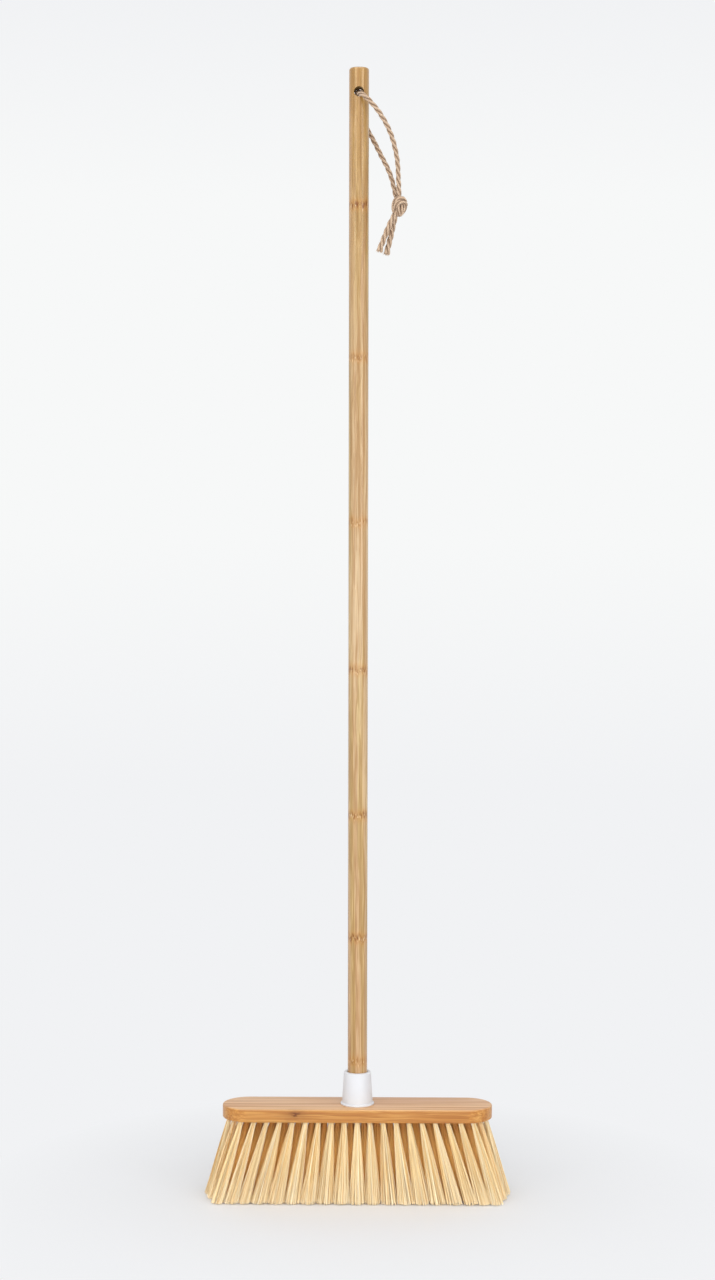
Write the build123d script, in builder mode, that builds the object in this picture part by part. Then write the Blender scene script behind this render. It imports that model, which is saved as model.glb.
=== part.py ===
from build123d import *
from math import copysign, floor, pi, radians, sqrt, tan
import os

# A floor broom with a bamboo block, five rows of bristle tufts, a plastic screw socket,
# a bamboo pole and a jute hanging loop. Millimetres, +Z up along the pole, X along the block,
# front of the broom towards -Y. The origin is under the pole, on the plane of the bristle tips.

# Brush block
block_length = 304.0
block_width = 60.0
block_thickness = 15.0
block_edge_radius = 1.5

# Bristle tufts
bristle_length = 90.0
tuft_pitch = 14.4
tuft_rim = 7.0
row_rim = 10.0
tuft_root_width = 4.8
tuft_hole_diameter = 5.6
tuft_hole_depth = 9.0
tuft_plug_clearance = 0.1
strand_root_gap = 0.3
strand_tip_gap = 0.8
fan_slope = 0.26
fan_limit_middle = 22.0
fan_limit_step = 2.0
row_fan = 0.85
tip_fill = 0.86
tuft_tip_depth = 12.0
slice_width = 8.0
slice_depth = 2.0

# Staple anchor in the bottom of each tuft hole
anchor_width = 6.6
anchor_height = 2.2
anchor_thickness = 0.5

# Screw socket
collar_height = 37.0
collar_base_diameter = 34.4
collar_top_diameter = 30.6
collar_rim_radius = 1.4
flange_diameter = 38.0
flange_thickness = 1.6
spigot_diameter = 30.0
spigot_depth = 3.5
spigot_clearance = 0.1
socket_floor = 3.0
guide_depth = 11.0
guide_clearance = 0.3
mouth_chamfer = 0.8

# Screw thread between the pole's tip and the socket
thread_lead = 5.0
thread_core_diameter = 15.0
thread_depth = 1.5
thread_base_width = 3.0
thread_crest_width = 1.6
thread_radial_clearance = 0.4
thread_axial_clearance = 0.5
thread_root_bite = 0.3
tip_thread_turns = 3.5
socket_thread_turns = 2.5
thread_start = 1.0

# Socket screws
socket_screw_diameter = 2.8
socket_screw_head_diameter = 5.6
socket_screw_head_height = 1.6
socket_screw_length = 11.0
screw_hole_clearance = 0.05

# Pole and its tip
pole_diameter = 22.0
broom_height = 1260.0
pole_edge_radius = 2.8
tenon_diameter = 10.8
tenon_length = 18.5
tenon_clearance = 0.1
tip_length = 24.0
tip_screw_diameter = 4.0
tip_screw_head_diameter = 8.0
tip_screw_head_height = 2.2
tip_screw_length = 18.0
tip_recess_clearance = 0.4
tip_recess_depth = 2.5

# Hanging cord
cord_diameter = 5.2
cord_tail_diameter = 6.0
cord_hole_diameter = 11.0
cord_hole_drop = 27.0
knot_width = 15.0
knot_height = 23.2
knot_offset = 45.5
knot_drop = 124.4
knot_wrap_diameter = 12.2
knot_wrap_tilt = 32.0
arc_share = 0.45

# Rows of tufts, counted from the middle one
row_names = {
    -2: "tuft_row_front",
    -1: "tuft_row_front_inner",
    0: "tuft_row_middle",
    1: "tuft_row_back_inner",
    2: "tuft_row_back",
}

# Heights and places that follow from the sizes
under_z = bristle_length
top_z = under_z + block_thickness
collar_top_z = top_z + collar_height
spigot_z = top_z - spigot_depth
floor_z = spigot_z + socket_floor
ledge_z = collar_top_z - guide_depth
tip_z = ledge_z - tip_length
tenon_z = ledge_z - tenon_length
recess_z = tip_z + tip_recess_depth
thread_z = tip_z + thread_start + thread_base_width / 2
hole_z = broom_height - cord_hole_drop
row_spacing = (block_width - 2 * row_rim) / (len(row_names) - 1)
hole_top_z = under_z + tuft_hole_depth
plug_top_z = hole_top_z - anchor_height
slice_top_z = under_z + slice_depth

pole_radius = pole_diameter / 2
core_radius = thread_core_diameter / 2
tip_crest_radius = core_radius + thread_depth
socket_root_radius = tip_crest_radius + thread_radial_clearance
guide_radius = pole_radius + guide_clearance
spigot_radius = spigot_diameter / 2

os.makedirs("parts", exist_ok=True)


def tuft_places(row):
    """Tuft centres of one row, staggered by half a pitch in every other row."""
    y = row * row_spacing
    end_radius = block_width / 2
    reach = block_length / 2 - end_radius + sqrt(end_radius**2 - y**2) - tuft_rim
    stagger = 0.5 * (row % 2)
    steps = [i + stagger for i in range(floor(reach / tuft_pitch - stagger) + 1)]
    xs = sorted({side * step * tuft_pitch for step in steps for side in (-1, 1)})
    return [(x, y) for x in xs]


def slice_length(row):
    """Length of the strip of block that carries one row."""
    return 2 * tuft_places(row)[-1][0] + slice_width


def tip_place(x, y, row):
    """Where the tips of the tuft rooted at x, y stand, and how wide they spread along the row."""
    limit = fan_limit_middle + fan_limit_step * abs(row)
    lean = fan_slope * abs(x)
    spread = tip_fill * tuft_pitch * (1 + fan_slope if lean < limit else 1)
    return x + copysign(min(lean, limit), x), y * (1 + row_fan), spread


def strand(root, root_side, tip, tip_sides):
    """One four-sided strand with flat sides, from the underside of the block to the cut at the tips."""
    corners = ((-0.5, -0.5), (0.5, -0.5), (0.5, 0.5), (-0.5, 0.5))
    upper = [(root[0] + i * root_side, root[1] + j * root_side, under_z) for i, j in corners]
    lower = [(tip[0] + i * tip_sides[0], tip[1] + j * tip_sides[1], 0) for i, j in corners]
    rings = [upper, lower]
    for k, corner in enumerate(upper):
        rings.append([upper[k - 1], corner, lower[k], lower[k - 1]])
    return Solid(Shell([Face(Wire.make_polygon(ring)) for ring in rings]))


def tuft_strands(row):
    """Four strands, two by two, for each tuft of a row."""
    strands = []
    root_step = (tuft_root_width + strand_root_gap) / 4
    root_side = (tuft_root_width - strand_root_gap) / 2
    for x, y in tuft_places(row):
        tip_x, tip_y, spread = tip_place(x, y, row)
        tip_steps = ((spread + strand_tip_gap) / 4, (tuft_tip_depth + strand_tip_gap) / 4)
        tip_sides = ((spread - strand_tip_gap) / 2, (tuft_tip_depth - strand_tip_gap) / 2)
        for side in (-1, 1):
            for face in (-1, 1):
                root = (x + side * root_step, y + face * root_step)
                tip = (tip_x + side * tip_steps[0], tip_y + face * tip_steps[1])
                strands.append(strand(root, root_side, tip, tip_sides))
    return strands


def thread_section(path, depth, base_width, crest_width):
    """Trapezoid at the start of a helix, its base sunk a little into the wall that carries it."""
    bite = copysign(thread_root_bite, depth)
    with BuildSketch(Plane(path @ 0, x_dir=(1, 0, 0), z_dir=path % 0)) as trapezoid:
        with BuildLine():
            Polyline(
                (-bite, -base_width / 2),
                (0, -base_width / 2),
                (depth, -crest_width / 2),
                (depth, crest_width / 2),
                (0, base_width / 2),
                (-bite, base_width / 2),
                close=True,
            )
        make_face()
    return trapezoid.sketch


all_places = [place for row in row_names for place in tuft_places(row)]

# Brush block, drilled for the tufts, with a recess for the socket's spigot
with BuildPart() as brush_block:
    with BuildSketch(Plane.XY.offset(under_z)):
        SlotOverall(block_length, block_width)
    extrude(amount=block_thickness)
    long_edges = brush_block.edges().group_by(Axis.Z)
    fillet(long_edges[0] + long_edges[-1], block_edge_radius)
    for row in row_names:
        with Locations((0, row * row_spacing, under_z)):
            Box(
                slice_length(row),
                slice_width,
                slice_depth,
                align=(Align.CENTER, Align.CENTER, Align.MIN),
                mode=Mode.SUBTRACT,
            )
    with Locations(*[(x, y, slice_top_z) for x, y in all_places]):
        Cylinder(
            tuft_hole_diameter / 2,
            hole_top_z - slice_top_z,
            align=(Align.CENTER, Align.CENTER, Align.MIN),
            mode=Mode.SUBTRACT,
        )
    with Locations(*[(x, y, plug_top_z) for x, y in all_places]):
        Box(
            anchor_width,
            anchor_thickness,
            anchor_height,
            align=(Align.CENTER, Align.CENTER, Align.MIN),
            mode=Mode.SUBTRACT,
        )
    with Locations((0, 0, spigot_z)):
        Cylinder(
            spigot_radius + spigot_clearance,
            spigot_depth,
            align=(Align.CENTER, Align.CENTER, Align.MIN),
            mode=Mode.SUBTRACT,
        )
    with Locations((0, row_spacing / 2, floor_z), (0, -row_spacing / 2, floor_z)):
        Cylinder(
            socket_screw_diameter / 2 + screw_hole_clearance,
            socket_screw_length + screw_hole_clearance,
            align=(Align.CENTER, Align.CENTER, Align.MAX),
            mode=Mode.SUBTRACT,
        )
brush_block.part.label = "brush_block"
export_step(brush_block.part, "parts/brush_block.step")

# Rows of tufts: flared strands under a strip of the block, and a plug of folded bristle in each hole
for row, row_name in row_names.items():
    row_strands = tuft_strands(row)
    with BuildPart() as tuft_row:
        with Locations((0, row * row_spacing, under_z)):
            Box(
                slice_length(row),
                slice_width,
                slice_depth,
                align=(Align.CENTER, Align.CENTER, Align.MIN),
            )
        with Locations(*[(x, y, slice_top_z) for x, y in tuft_places(row)]):
            Cylinder(
                tuft_hole_diameter / 2 - tuft_plug_clearance,
                plug_top_z - slice_top_z,
                align=(Align.CENTER, Align.CENTER, Align.MIN),
            )
        add(row_strands)
    tuft_row.part.label = row_name
    export_step(tuft_row.part, f"parts/{row_name}.step")
    print(row_name, len(row_strands), "strands")

# Staple anchors, one over the fold of each tuft
with BuildPart() as tuft_anchors:
    with Locations(*[(x, y, plug_top_z) for x, y in all_places]):
        Box(
            anchor_width,
            anchor_thickness,
            anchor_height,
            align=(Align.CENTER, Align.CENTER, Align.MIN),
        )
tuft_anchors.part.label = "tuft_anchors"
export_step(tuft_anchors.part, "parts/tuft_anchors.step")

# Screw socket: flange, tapered body, guide bore for the pole and a threaded bore below it
with BuildPart() as socket_collar:
    with BuildSketch(Plane.XZ):
        with BuildLine():
            Polyline(
                (0, spigot_z),
                (spigot_radius, spigot_z),
                (spigot_radius, top_z),
                (flange_diameter / 2, top_z),
                (flange_diameter / 2, top_z + flange_thickness),
                (collar_base_diameter / 2, top_z + flange_thickness),
                (collar_top_diameter / 2, collar_top_z),
                (guide_radius, collar_top_z),
                (guide_radius, ledge_z),
                (socket_root_radius, ledge_z),
                (socket_root_radius, floor_z),
                (0, floor_z),
                close=True,
            )
        make_face()
    revolve(axis=Axis.Z)
    mouth_edges = socket_collar.edges().filter_by(GeomType.CIRCLE).group_by(Axis.Z)[-1]
    fillet(mouth_edges.sort_by(SortBy.RADIUS)[-1], collar_rim_radius)
    chamfer(mouth_edges.sort_by(SortBy.RADIUS)[0], mouth_chamfer)
    with Locations((0, row_spacing / 2, floor_z), (0, -row_spacing / 2, floor_z)):
        CounterSinkHole(
            socket_screw_diameter / 2 + screw_hole_clearance,
            socket_screw_head_diameter / 2 + screw_hole_clearance,
        )
    with BuildLine() as socket_helix:
        Helix(
            thread_lead,
            socket_thread_turns * thread_lead,
            socket_root_radius,
            center=(0, 0, thread_z + thread_lead / 2),
        )
    socket_section = thread_section(
        socket_helix.line,
        -thread_depth,
        thread_lead - thread_crest_width - 2 * thread_axial_clearance,
        thread_lead - thread_base_width - 2 * thread_axial_clearance,
    )
    sweep(socket_section, path=socket_helix.line, is_frenet=True)
socket_collar.part.label = "socket_collar"
export_step(socket_collar.part, "parts/socket_collar.step")

# Two countersunk screws through the socket's floor into the block
with BuildPart() as socket_screws:
    for side in (-1, 1):
        with BuildSketch(Plane.XZ.offset(-side * row_spacing / 2)):
            with BuildLine():
                Polyline(
                    (0, floor_z),
                    (socket_screw_head_diameter / 2, floor_z),
                    (socket_screw_diameter / 2, floor_z - socket_screw_head_height),
                    (socket_screw_diameter / 2, floor_z - socket_screw_length),
                    (0, floor_z - socket_screw_length),
                    close=True,
                )
            make_face()
        revolve(axis=Axis((0, side * row_spacing / 2, 0), (0, 0, 1)))
socket_screws.part.label = "socket_screws"
export_step(socket_screws.part, "parts/socket_screws.step")

# Pole: a round bamboo rod with a turned tenon at its lower end and a cord hole near its top
with BuildPart() as handle_pole:
    with BuildSketch(Plane.XY.offset(ledge_z)):
        Circle(pole_radius)
    extrude(amount=broom_height - ledge_z)
    fillet(handle_pole.edges().group_by(Axis.Z)[-1], pole_edge_radius)
    with BuildSketch(Plane.XY.offset(tenon_z)):
        Circle(tenon_diameter / 2)
    extrude(amount=tenon_length)
    with Locations((0, 0, tenon_z)):
        Cylinder(
            tip_screw_diameter / 2 + screw_hole_clearance,
            tip_screw_length - (tenon_z - recess_z) + screw_hole_clearance,
            align=(Align.CENTER, Align.CENTER, Align.MIN),
            mode=Mode.SUBTRACT,
        )
    with Locations(Plane(origin=(0, 0, hole_z), z_dir=(0, 1, 0))):
        Cylinder(cord_hole_diameter / 2, 2 * pole_diameter, mode=Mode.SUBTRACT)
handle_pole.part.label = "handle_pole"
export_step(handle_pole.part, "parts/handle_pole.step")

# Threaded tip: a sleeve over the tenon, with the outside thread and a recess for its screw
with BuildPart() as thread_tip:
    with BuildSketch(Plane.XZ):
        with BuildLine():
            Polyline(
                (tip_screw_diameter / 2 + screw_hole_clearance, tenon_z),
                (tip_screw_diameter / 2 + screw_hole_clearance, recess_z),
                (tip_screw_head_diameter / 2 + tip_recess_clearance, recess_z),
                (tip_screw_head_diameter / 2 + tip_recess_clearance, tip_z),
                (core_radius, tip_z),
                (core_radius, ledge_z),
                (tenon_diameter / 2 + tenon_clearance, ledge_z),
                (tenon_diameter / 2 + tenon_clearance, tenon_z),
                close=True,
            )
        make_face()
    revolve(axis=Axis.Z)
    with BuildLine() as tip_helix:
        Helix(
            thread_lead,
            tip_thread_turns * thread_lead,
            core_radius,
            center=(0, 0, thread_z),
        )
    tip_section = thread_section(tip_helix.line, thread_depth, thread_base_width, thread_crest_width)
    sweep(tip_section, path=tip_helix.line, is_frenet=True)
thread_tip.part.label = "thread_tip"
export_step(thread_tip.part, "parts/thread_tip.step")

# Wood screw that holds the tip on the pole
with BuildPart() as tip_screw:
    with BuildSketch(Plane.XY.offset(recess_z - tip_screw_head_height)):
        Circle(tip_screw_head_diameter / 2)
    extrude(amount=tip_screw_head_height)
    with BuildSketch(Plane.XY.offset(recess_z)):
        Circle(tip_screw_diameter / 2)
    extrude(amount=tip_screw_length)
tip_screw.part.label = "tip_screw"
export_step(tip_screw.part, "parts/tip_screw.step")

# Hanging cord: hand-chosen points of each stretch, x and y from the pole's axis, z from the cord hole
cord_routes = {
    "cord_front_leg": [
        (0.4, 0, -0.5),
        (0.4, -14.4, -0.5),
        (12.5, -15, -9.6),
        (25.8, -14.5, -25.3),
        (36.8, -10.5, -46.5),
        (42.8, -6.5, -72),
        (44.2, -3.6, -95),
        (44.8, -2.8, -117),
    ],
    "cord_back_leg": [
        (0.4, 0, -0.5),
        (0.4, 14.4, -0.5),
        (2.4, 14.9, -17),
        (7.5, 14.8, -34.5),
        (15.5, 13.4, -49.5),
        (23.7, 10.5, -66.2),
        (33, 7.2, -83.5),
        (38.2, 4.9, -100.5),
        (41.6, 3.2, -117),
    ],
    "cord_tail_left": [
        (41.5, -3.3, -130),
        (35.6, -3.4, -141.5),
        (29.2, -3.3, -157.5),
        (22.7, -2.6, -172.8),
    ],
    "cord_tail_right": [
        (41.6, 3.3, -130),
        (38.2, 3.2, -142.5),
        (34.6, 2.6, -159.5),
        (30.6, 1.6, -175.5),
    ],
}


def corner_radii(points):
    """The largest arc that each corner of a route takes, from its shorter run."""
    radii = []
    for before, here, after in zip(points, points[1:], points[2:]):
        turn = (here - before).get_angle(after - here)
        shorter = min((here - before).length, (after - here).length)
        radii.append(arc_share * shorter / tan(radians(turn) / 2))
    return radii


for cord_name, offsets in cord_routes.items():
    route = [Vector(x, y, hole_z + z) for x, y, z in offsets]
    radii = corner_radii(route)
    tube_radius = (cord_tail_diameter if "tail" in cord_name else cord_diameter) / 2
    with BuildPart() as cord:
        with BuildLine() as cord_path:
            FilletPolyline(*route, radius=radii)
        with BuildSketch(Plane(route[0], z_dir=route[1] - route[0])):
            Circle(tube_radius)
        sweep(path=cord_path.line)
    cord.part.label = cord_name
    export_step(cord.part, f"parts/{cord_name}.step")
    cord_length = sum(edge.length for edge in cord_path.edges())
    tube_volume = pi * tube_radius**2 * cord_length
    print(
        cord_name,
        f"length {cord_length:.1f}",
        f"volume ratio {cord.part.volume / tube_volume:.4f}",
        "radii",
        [round(radius, 1) for radius in radii],
    )

# Knot that ties the two legs: a filled core and one turn of cord wrapped round it
with BuildPart() as cord_knot:
    with BuildSketch(Plane.XZ):
        with Locations((knot_offset, hole_z - knot_drop)):
            Ellipse(knot_width / 2, knot_height / 2)
            Rectangle(knot_width, knot_height, align=(Align.MAX, Align.CENTER), mode=Mode.SUBTRACT)
    revolve(axis=Axis((knot_offset, 0, 0), (0, 0, 1)))
    with Locations((knot_offset, 0, hole_z - knot_drop)):
        Torus(knot_wrap_diameter / 2, cord_diameter / 2, rotation=(0, -knot_wrap_tilt, 0))
cord_knot.part.label = "cord_knot"
export_step(cord_knot.part, "parts/cord_knot.step")
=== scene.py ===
"""Looks of a bamboo floor broom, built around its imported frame. Metres, +Z up, front towards -Y."""

import math
import random

import bmesh
import bpy
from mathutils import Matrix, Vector


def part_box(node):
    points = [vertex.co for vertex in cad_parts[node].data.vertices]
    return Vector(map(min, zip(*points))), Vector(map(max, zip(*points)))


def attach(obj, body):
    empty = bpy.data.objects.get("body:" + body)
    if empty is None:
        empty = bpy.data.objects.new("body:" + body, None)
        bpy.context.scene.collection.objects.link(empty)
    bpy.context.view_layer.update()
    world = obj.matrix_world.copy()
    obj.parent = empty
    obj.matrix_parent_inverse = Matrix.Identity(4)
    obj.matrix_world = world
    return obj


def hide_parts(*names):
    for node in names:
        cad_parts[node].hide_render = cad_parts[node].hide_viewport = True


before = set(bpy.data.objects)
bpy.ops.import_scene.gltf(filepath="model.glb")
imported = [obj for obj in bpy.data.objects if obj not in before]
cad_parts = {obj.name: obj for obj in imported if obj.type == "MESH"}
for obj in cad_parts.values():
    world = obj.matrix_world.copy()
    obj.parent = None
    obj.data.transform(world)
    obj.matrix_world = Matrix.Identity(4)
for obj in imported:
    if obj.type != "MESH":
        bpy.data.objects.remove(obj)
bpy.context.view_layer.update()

# Places that the frame gives
block_low, block_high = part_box("brush_block")
collar_low, collar_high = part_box("socket_collar")
pole_low, pole_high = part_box("handle_pole")
knot_low, knot_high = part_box("cord_knot")
screw_point_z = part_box("socket_screws")[0].z
ledge_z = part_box("thread_tip")[1].z
under_z = block_low.z
block_top_z = block_high.z
block_straight_half = block_high.x - block_high.y
collar_top_z = collar_high.z
pole_radius = pole_high.x
pole_top_z = pole_high.z
knot_centre = (knot_low + knot_high) / 2

# Fineness of round forms
edge_steps = 5
end_steps = 40
turned_sides = 96
recess_sides = 64
cord_hole_sides = 40
small_hole_sides = 20
thread_steps = 48

# Brush block
block_edge_radius = 0.0015
lamination = 0.0058
block_eye = Vector((-0.069, 0.0092))
block_eye_size = Vector((0.0072, 0.0032))
drill_overlap = 0.002

# Bristle tufts
tufts_in_row = {
    "tuft_row_front": 19,
    "tuft_row_front_inner": 20,
    "tuft_row_middle": 21,
    "tuft_row_back_inner": 20,
    "tuft_row_back": 19,
}
row_spacing = 0.010
tuft_pitch = 0.0144
tuft_hole_radius = 0.0028
tuft_hole_depth = 0.009
tuft_root_radius = 0.0024
tuft_root_sink = 0.001
fan_slope = 0.26
fan_limit_middle = 0.022
fan_limit_step = 0.002
row_fan = 0.85
tip_fill = 1.04
tuft_tip_depth = 0.0135
filaments_in_tuft = 170
filament_radius = 0.00025
filament_sides = 3
filament_steps = 3
filament_variation = (0.8, 1.2)
filament_bow = 0.0007
clumps_across = 3.8
clump_pull = 0.65
clump_share = 0.55
clump_shift = 1000.0
draws_in_row = 20.0
tip_jitter = 0.0007
tip_lift = 0.0016
tip_raggedness = 0.004

# Screw socket
flange_thickness = 0.0016
flange_edge_radius = 0.0006
collar_base_radius = 0.0172
collar_top_radius = 0.0153
collar_rim_radius = 0.0014
collar_rim_start = 4
collar_foot_radius = 0.0012
spigot_radius = 0.0150
guide_radius = 0.0113
mouth_chamfer = 0.0008
thread_root_radius = 0.0094
thread_lead = 0.005
thread_turns = 2.5
thread_depth = 0.0015
thread_base_width = 0.0024
thread_crest_width = 0.001
thread_bite = 0.0003
thread_first_drop = 0.019
socket_floor = 0.003
screw_hole_radius = 0.00145

# Pole
pole_edge_radius = 0.0028
tenon_radius = 0.0054
cord_hole_radius = 0.0055
cord_hole_drop = 0.027
cord_hole_room = (0.03, 0.015)
pole_nodes = {1.109: 1.0, 0.943: 0.75, 0.761: 0.7, 0.5965: 0.85, 0.433: 0.85, 0.2955: 1.0, 0.155: 0.7}
# Painted shade along the pole: darker and browner towards both ends, where the light falls off
pole_end_shade = [
    (0.12, (0.96, 0.89, 0.85, 1.0)),
    (0.45, (1.0, 1.0, 1.0, 1.0)),
    (0.60, (1.0, 1.0, 1.0, 1.0)),
    (0.82, (0.87, 0.81, 0.70, 1.0)),
    (0.98, (0.85, 0.72, 0.55, 1.0)),
]

# Marks and relief of the finishes
grain_sway = 0.0012
node_band_width = 0.006
node_dash_width = 0.0055
node_dash_stray = 0.003
node_spot_width = 0.003
node_spot_drop = 0.0015
pole_relief = 0.00004
end_relief = 0.00005
block_relief = 0.00005
plastic_relief = 0.00002
zinc_relief = 0.00002
jute_relief = 0.0002

# Hanging cord
cord_diameter = 0.0052
tail_diameter = 0.006
knot_arch_diameter = 0.0053
knot_band_diameter = 0.0046
cord_lay = 0.027
knot_lay = 0.060
cord_strands = 3
strand_sides = 10
strand_share = 0.25
lay_share = 0.285
core_share = 0.37
tail_flare = 0.5
flare_reach = 0.006
flare_thickening = 0.25
strand_variation = (0.97, 1.03)
rope_step = 0.0006
line_steps = 10
stray_fibre_radius = 0.00005
stray_fibre_lengths = (0.0012, 0.0032)
stray_fibre_leans = (0.25, 0.8)
end_fibre_radius = 0.00012
end_fibre_lengths = (0.0016, 0.0032)
end_fibre_leans = (-0.1, 0.5)
end_fibre_sink = 0.001
fibre_sides = 3
fibre_seat = 0.45
fibre_droop = 0.15
leg_fibres = 80
tail_fibres = 30
tail_end_fibres = 70
band_fibres = 16
fibre_seed = 10
knot_seed = 40
hole_z = pole_top_z - cord_hole_drop

# Points of each stretch of cord: x and y from the pole's axis, z from the cord hole
cord_routes = {
    "cord_front_leg": [
        (-0.0029, 0.0042, 0.0004), (-0.0027, 0.0004, -0.0015), (-0.0002, -0.0070, -0.0026),
        (0.0020, -0.0136, -0.0032), (0.0064, -0.0174, -0.0060), (0.0129, -0.0166, -0.0120),
        (0.0246, -0.0145, -0.0258), (0.0359, -0.0105, -0.0465), (0.0425, -0.0065, -0.072),
        (0.0436, -0.0036, -0.095), (0.0446, -0.0028, -0.117),
    ],
    "cord_back_leg": [
        (-0.0029, 0.0042, 0.0004), (-0.0027, 0.0068, 0.0018), (-0.0014, 0.0104, 0.0030),
        (0.0016, 0.0148, 0.0036), (0.0052, 0.0172, 0.0017), (0.0072, 0.0174, -0.0052),
        (0.0076, 0.0167, -0.0145), (0.0070, 0.0158, -0.0260), (0.0082, 0.0147, -0.0370),
        (0.0155, 0.0134, -0.049), (0.0235, 0.0107, -0.0655), (0.0328, 0.0072, -0.083),
        (0.0379, 0.0049, -0.0985), (0.0416, 0.0032, -0.117),
    ],
    "cord_tail_left": [
        (0.0422, -0.0025, -0.1294), (0.0382, -0.0032, -0.1355), (0.0310, -0.0034, -0.1505),
        (0.0226, -0.0026, -0.1728),
    ],
    "cord_tail_right": [
        (0.0418, 0.0031, -0.1292), (0.0394, 0.0033, -0.1370), (0.0358, 0.0030, -0.1550),
        (0.0306, 0.0016, -0.1755),
    ],
}

# Points of the bands of the knot, from its centre
knot_bands = {
    "upper_arch": [
        (-0.0010, 0.0050, -0.0070), (-0.0050, 0.0020, -0.0082), (-0.0071, -0.0030, -0.0046),
        (-0.0070, -0.0060, 0.0005), (-0.0056, -0.0070, 0.0056), (-0.0022, -0.0072, 0.0088),
        (0.0024, -0.0060, 0.0084), (0.0056, -0.0025, 0.0052), (0.0052, 0.0025, 0.0020),
    ],
    "lower_arch": [
        (-0.0062, -0.0020, -0.0045), (-0.0052, -0.0070, -0.0008), (-0.0030, -0.0084, 0.0024),
        (0.0006, -0.0086, 0.0046), (0.0042, -0.0062, 0.0044), (0.0060, -0.0026, 0.0022),
        (0.0054, 0.0020, 0.0000),
    ],
    "shoulder": [
        (-0.0023, 0.0025, 0.0075), (0.0008, 0.0005, 0.0098), (0.0041, -0.0005, 0.0090),
        (0.0046, 0.0000, 0.0060), (0.0027, 0.0030, 0.0035),
    ],
    "right_band": [
        (0.0046, -0.0030, 0.0045), (0.0056, -0.0042, 0.0005), (0.0047, -0.0050, -0.0040),
        (0.0024, -0.0044, -0.0076), (-0.0008, -0.0015, -0.0096), (-0.0028, 0.0025, -0.0070),
    ],
    "left_drop": [
        (-0.0004, -0.0030, 0.0020), (-0.0016, -0.0076, -0.0006), (-0.0020, -0.0078, -0.0046),
        (-0.0014, -0.0048, -0.0086), (-0.0008, 0.0010, -0.0092), (-0.0008, 0.0045, -0.0060),
    ],
    "right_drop": [
        (0.0014, -0.0030, 0.0016), (0.0018, -0.0072, -0.0008), (0.0016, -0.0072, -0.0044),
        (0.0010, -0.0046, -0.0078), (0.0002, 0.0010, -0.0086), (-0.0002, 0.0045, -0.0060),
    ],
    "back_turn": [
        (-0.0062, -0.0010, 0.0010), (-0.0064, 0.0044, 0.0030), (-0.0028, 0.0068, 0.0054),
        (0.0026, 0.0066, 0.0040), (0.0052, 0.0030, -0.0020),
    ],
}
# The filling behind the knot's bands, and a low crown that paints it dark with the jute's painted shade
knot_core = Vector((0.0048, 0.0046, 0.0080))
core_shade_crown = 0.6

# Stage and camera
floor_radius = 4.0
floor_fade = (0.12, 0.45)
room_heights = (-0.12, 0.38)
room_light = 0.64
camera_distance = 2.700
camera_height = 0.793
camera_offset = -0.001
camera_tilt = 3.47
camera_roll = -0.0017
camera_turn = 0.0113
camera_lens = 68.15
camera_sensor = 36.0


# Node trees


class Wire:
    """One output of a node, which leads to its others by key. Arithmetic on wires adds Math nodes."""

    def __init__(self, socket):
        self.socket = socket
        self.tree = socket.id_data

    def __getitem__(self, key):
        return Wire(self.socket.node.outputs[key])

    def __add__(self, other):
        return calc("ADD", self, other)

    def __sub__(self, other):
        return calc("SUBTRACT", self, other)

    def __rsub__(self, other):
        return calc("SUBTRACT", other, self)

    def __mul__(self, other):
        return calc("MULTIPLY", self, other)

    def __truediv__(self, other):
        return calc("DIVIDE", self, other)

    def __lt__(self, other):
        return calc("LESS_THAN", self, other)

    def __abs__(self):
        return calc("ABSOLUTE", self)


def add_node(tree, kind, inputs=None, **settings):
    """Adds a node, sets its properties and fills its inputs with values or wires."""
    node = tree.nodes.new(kind)
    for name, value in settings.items():
        setattr(node, name, value)
    for key, value in (inputs or {}).items():
        if isinstance(value, Wire):
            tree.links.new(value.socket, node.inputs[key])
        else:
            node.inputs[key].default_value = value
    return node


def put(tree, kind, inputs=None, **settings):
    """The first output of a new node."""
    return Wire(add_node(tree, kind, inputs, **settings).outputs[0])


def link(wire, socket):
    wire.tree.links.new(wire.socket, socket)


def tree_of(values):
    """The tree of the first wire among some values."""
    return next(value.tree for value in values if isinstance(value, Wire))


def calc(operation, *values):
    """A Math node on values or wires."""
    return put(tree_of(values), "ShaderNodeMath", dict(enumerate(values)), operation=operation)


def vector_calc(operation, *values):
    """A Vector Math node on vectors."""
    return put(tree_of(values), "ShaderNodeVectorMath", dict(enumerate(values)), operation=operation)


def scaled(vector, factor):
    return put(vector.tree, "ShaderNodeVectorMath", {0: vector, "Scale": factor}, operation="SCALE")


def length_of(vector):
    return put(vector.tree, "ShaderNodeVectorMath", {0: vector}, operation="LENGTH")["Value"]


def join_axes(x=0.0, y=0.0, z=0.0):
    return put(tree_of((x, y, z)), "ShaderNodeCombineXYZ", {0: x, 1: y, 2: z})


def axes_of(vector):
    return put(vector.tree, "ShaderNodeSeparateXYZ", {0: vector})


def fall(value):
    """Falls from 1 at a value of 0, by e for each step of 1."""
    return calc("POWER", math.exp(-1), value)


def bell(value, width):
    """A bell curve, 1 at a value of 0."""
    share = value / width
    return fall(share * share)


def remap(value, low, high, to_low=0.0, to_high=1.0):
    """A value carried from one range to another, and held at its ends."""
    inputs = {"Value": value, "From Min": low, "From Max": high, "To Min": to_low, "To Max": to_high}
    return put(value.tree, "ShaderNodeMapRange", inputs)


def blend(factor, first, second, mode="MIX"):
    """Two colours mixed by a factor."""
    tree = tree_of((factor, first, second))
    inputs = {0: factor, 6: first, 7: second}
    return put(tree, "ShaderNodeMix", inputs, data_type="RGBA", blend_type=mode)[2]


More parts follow.
